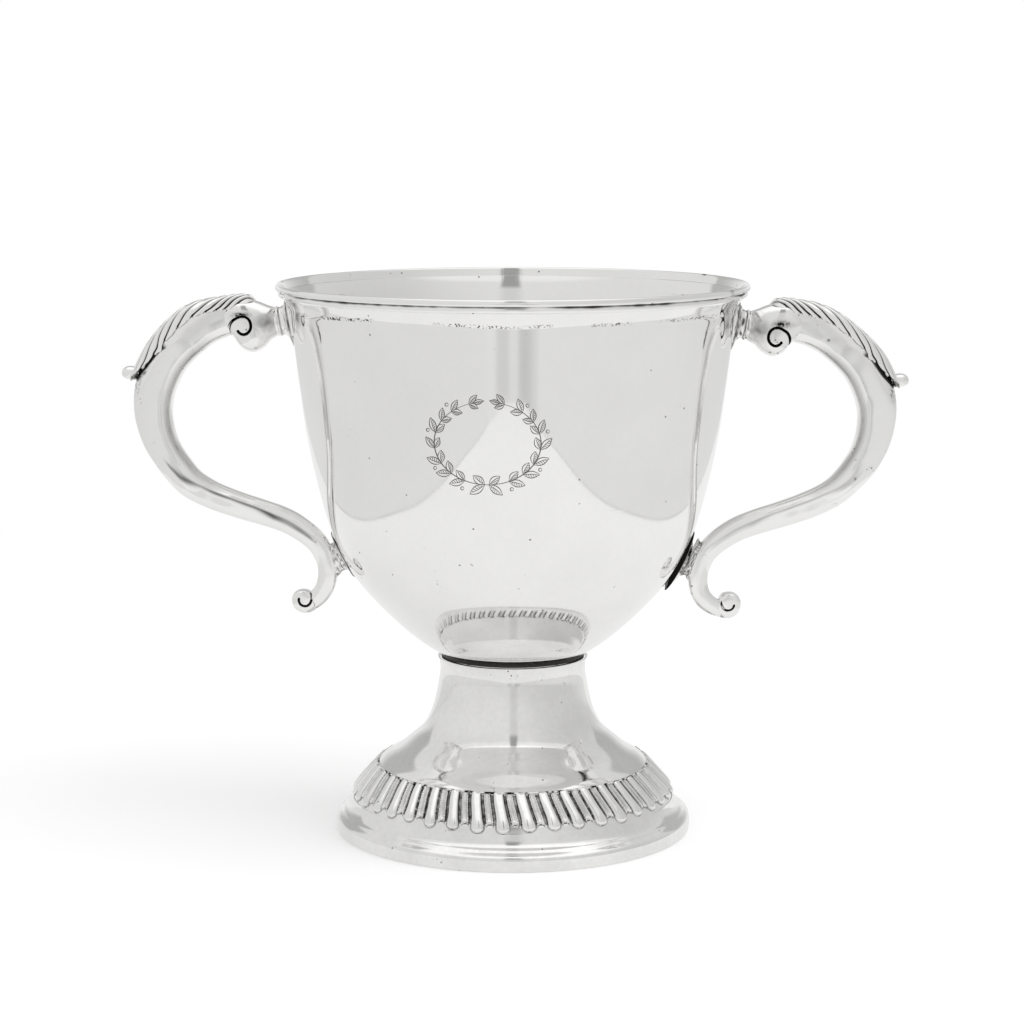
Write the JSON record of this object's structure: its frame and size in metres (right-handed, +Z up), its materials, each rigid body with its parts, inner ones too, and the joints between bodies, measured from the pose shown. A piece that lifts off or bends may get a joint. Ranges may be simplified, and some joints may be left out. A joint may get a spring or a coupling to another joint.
{
  "type": "two-handled cup",
  "caption": "Silver drinking cup: raised bowl on a trumpet foot with a gadrooned border, and a pair of hollow scroll handles capped with leaves.",
  "frame": {"origin": "on the cup's axis, in the plane that the foot stands on", "axes": "+Z up along the cup's axis, handles along +X and -X, front towards -Y"},
  "size_m": [0.227, 0.136, 0.16],
  "materials": {
    "silver_sheet": "polished hammered silver sheet",
    "silver_cast": "polished cast and chased silver",
    "silver_tarnished": "dull silver in a recess"
  },
  "bodies": {
    "root": {"bowl": "silver_sheet", "rim_moulding": "silver_sheet", "foot_collar": "silver_tarnished", "foot_pedestal": "silver_sheet", "foot_wire": "silver_tarnished", "foot_gadroon_border": "silver_cast", "foot_flange": "silver_sheet", "left_upper_plate": "silver_cast", "left_upper_scroll": "silver_cast", "left_handle_front_half": "silver_cast", "left_handle_back_half": "silver_cast", "left_leaf_cap": "silver_cast", "left_lower_scroll": "silver_cast", "left_lower_strut": "silver_cast", "left_lower_plate": "silver_cast", "right_upper_plate": "silver_cast", "right_upper_scroll": "silver_cast", "right_handle_front_half": "silver_cast", "right_handle_back_half": "silver_cast", "right_leaf_cap": "silver_cast", "right_lower_scroll": "silver_cast", "right_lower_strut": "silver_cast", "right_lower_plate": "silver_cast"}
  },
  "joints": []
}
